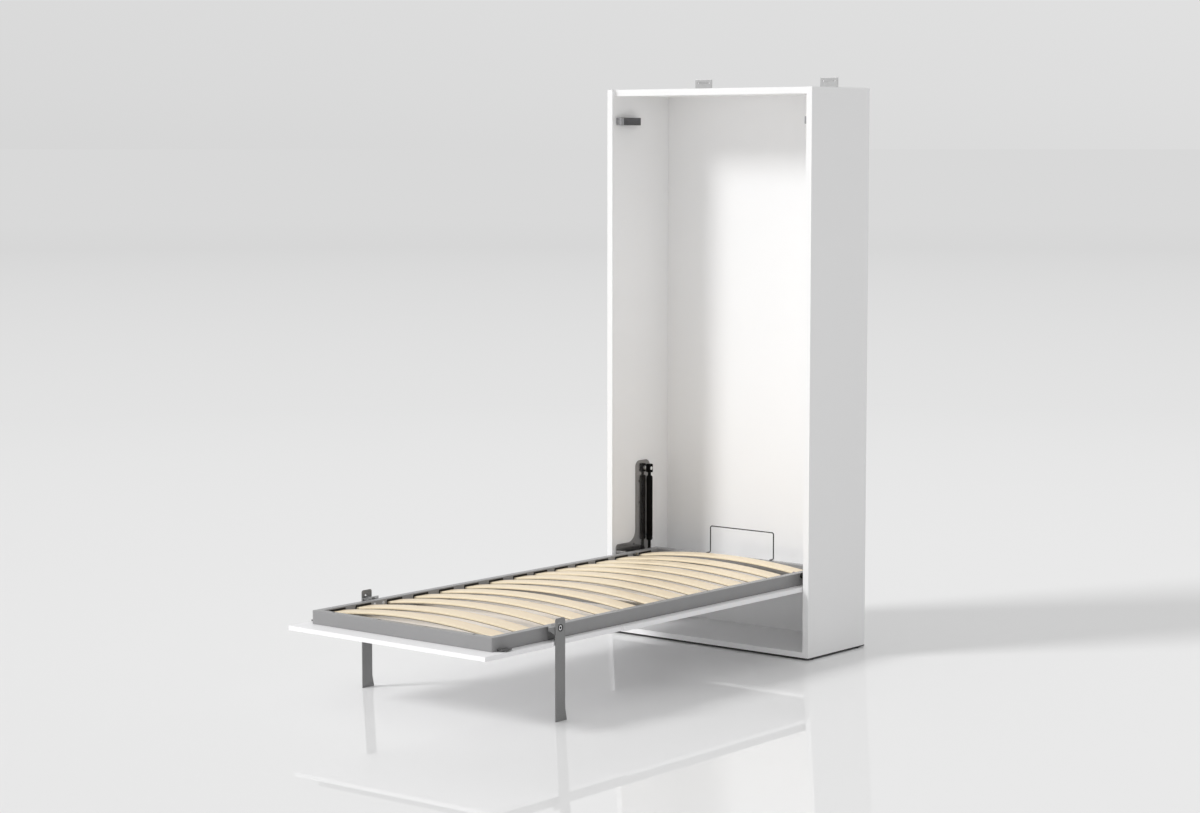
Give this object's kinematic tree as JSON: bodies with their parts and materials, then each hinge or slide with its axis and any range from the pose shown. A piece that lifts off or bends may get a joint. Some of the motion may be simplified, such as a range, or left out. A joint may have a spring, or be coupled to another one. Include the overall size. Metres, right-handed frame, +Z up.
{
  "type": "wall bed",
  "caption": "Vertical wall bed: a tall white cabinet whose front panel folds down with a steel frame of arched beech slats, on swinging strap legs.",
  "frame": {"origin": "on the floor, at the middle of the cabinet's back, where the floor meets the wall", "axes": "+X to the right seen from the front, +Y towards the wall, +Z up; the bed is open at rest and reaches along -Y"},
  "size_m": [0.984, 2.185, 2.214],
  "materials": {
    "white_board": "white melamine-faced board, satin",
    "front_board": "white melamine-faced board, satin",
    "black_plastic": "matte black nylon",
    "dowel_wood": "plain beech",
    "zinc_fasteners": "zinc plated",
    "wall_bracket_steel": "zinc plated sheet, satin",
    "plate_steel": "grey powder coat, satin",
    "catch_plastic": "matte grey plastic",
    "magnet_steel": "bare steel pole plates",
    "frame_steel": "grey powder coat, satin",
    "leg_steel": "grey powder coat, satin",
    "slat_beech": "clear-lacquered beech plywood, satin",
    "strut_black": "black paint, satin"
  },
  "bodies": {
    "cabinet": {"side_panel_left": "white_board", "side_panel_right": "white_board", "top_panel": "white_board", "bottom_panel": "white_board", "back_panel": "white_board", "floor_glides": "black_plastic", "dowels": "dowel_wood", "cam_locks": "zinc_fasteners", "cam_bolts": "zinc_fasteners", "wall_bracket_left": "wall_bracket_steel", "wall_bracket_right": "wall_bracket_steel", "wall_bracket_screws": "zinc_fasteners", "lift_plate_left": "plate_steel", "lift_plate_right": "plate_steel", "lift_plate_screws": "zinc_fasteners", "pivot_pins": "zinc_fasteners", "strut_studs": "zinc_fasteners", "catch_left": "catch_plastic", "catch_right": "catch_plastic", "catch_magnets": "magnet_steel"},
    "bed": {"side_rail_left": "frame_steel", "side_rail_right": "frame_steel", "foot_tube": "frame_steel", "head_tube": "frame_steel", "cross_tube": "frame_steel", "pivot_bushes": "black_plastic", "strut_lugs": "frame_steel", "mattress_loop": "frame_steel", "strike_tab_left": "frame_steel", "strike_tab_right": "frame_steel", "slat_holders_left": "black_plastic", "slat_holders_right": "black_plastic", "front_panel": "front_board", "panel_screws": "zinc_fasteners", "slat_1": "slat_beech", "slat_2": "slat_beech", "slat_3": "slat_beech", "slat_4": "slat_beech", "slat_5": "slat_beech", "slat_6": "slat_beech", "slat_7": "slat_beech", "slat_8": "slat_beech", "slat_9": "slat_beech", "slat_10": "slat_beech", "slat_11": "slat_beech", "slat_12": "slat_beech", "slat_13": "slat_beech", "slat_14": "slat_beech", "leg_bracket_left": "leg_steel", "leg_bracket_right": "leg_steel", "leg_bracket_bolts": "zinc_fasteners", "leg_pivot_bolts": "zinc_fasteners"},
    "left_leg": {"leg_left": "leg_steel"},
    "right_leg": {"leg_right": "leg_steel"},
    "left_strut": {"strut_cylinder_left": "strut_black"},
    "right_strut": {"strut_cylinder_right": "strut_black"},
    "left_rod": {"strut_rod_left": "strut_black"},
    "right_rod": {"strut_rod_right": "strut_black"}
  },
  "joints": [
    {"name": "bed_fold", "type": "hinge", "parent": "cabinet", "child": "bed", "pos_m": [0, -0.332, 0.315], "axis": [-1, 0, 0], "range_deg": [0, 90]},
    {"name": "leg_swing_left", "type": "hinge", "parent": "bed", "child": "left_leg", "pos_m": [-0.4572, -1.8, 0.322], "axis": [1, 0, 0], "range_deg": [0, 90]},
    {"name": "leg_swing_right", "type": "hinge", "parent": "bed", "child": "right_leg", "pos_m": [0.4572, -1.8, 0.322], "axis": [1, 0, 0], "range_deg": [0, 90]},
    {"name": "strut_swing_left", "type": "hinge", "parent": "cabinet", "child": "left_strut", "pos_m": [-0.445, -0.172, 0.648], "axis": [-1, 0, 0], "range_deg": [0, 19.55]},
    {"name": "strut_swing_right", "type": "hinge", "parent": "cabinet", "child": "right_strut", "pos_m": [0.445, -0.172, 0.648], "axis": [-1, 0, 0], "range_deg": [0, 19.55]},
    {"name": "rod_slide_left", "type": "slide", "parent": "left_strut", "child": "left_rod", "axis": [0, 0, -1], "range_m": [0, 0.1752]},
    {"name": "rod_slide_right", "type": "slide", "parent": "right_strut", "child": "right_rod", "axis": [0, 0, -1], "range_m": [0, 0.1752]}
  ],
  "couplings": [
    {"joint": "leg_swing_left", "follows": "bed_fold", "ratio": 1},
    {"joint": "leg_swing_right", "follows": "bed_fold", "ratio": 1},
    {"joint": "strut_swing_left", "follows": "bed_fold", "ratio": 0.21715},
    {"joint": "strut_swing_right", "follows": "bed_fold", "ratio": 0.21715},
    {"joint": "rod_slide_left", "follows": "bed_fold", "m_per_rad": 0.1115},
    {"joint": "rod_slide_right", "follows": "bed_fold", "m_per_rad": 0.1115}
  ]
}
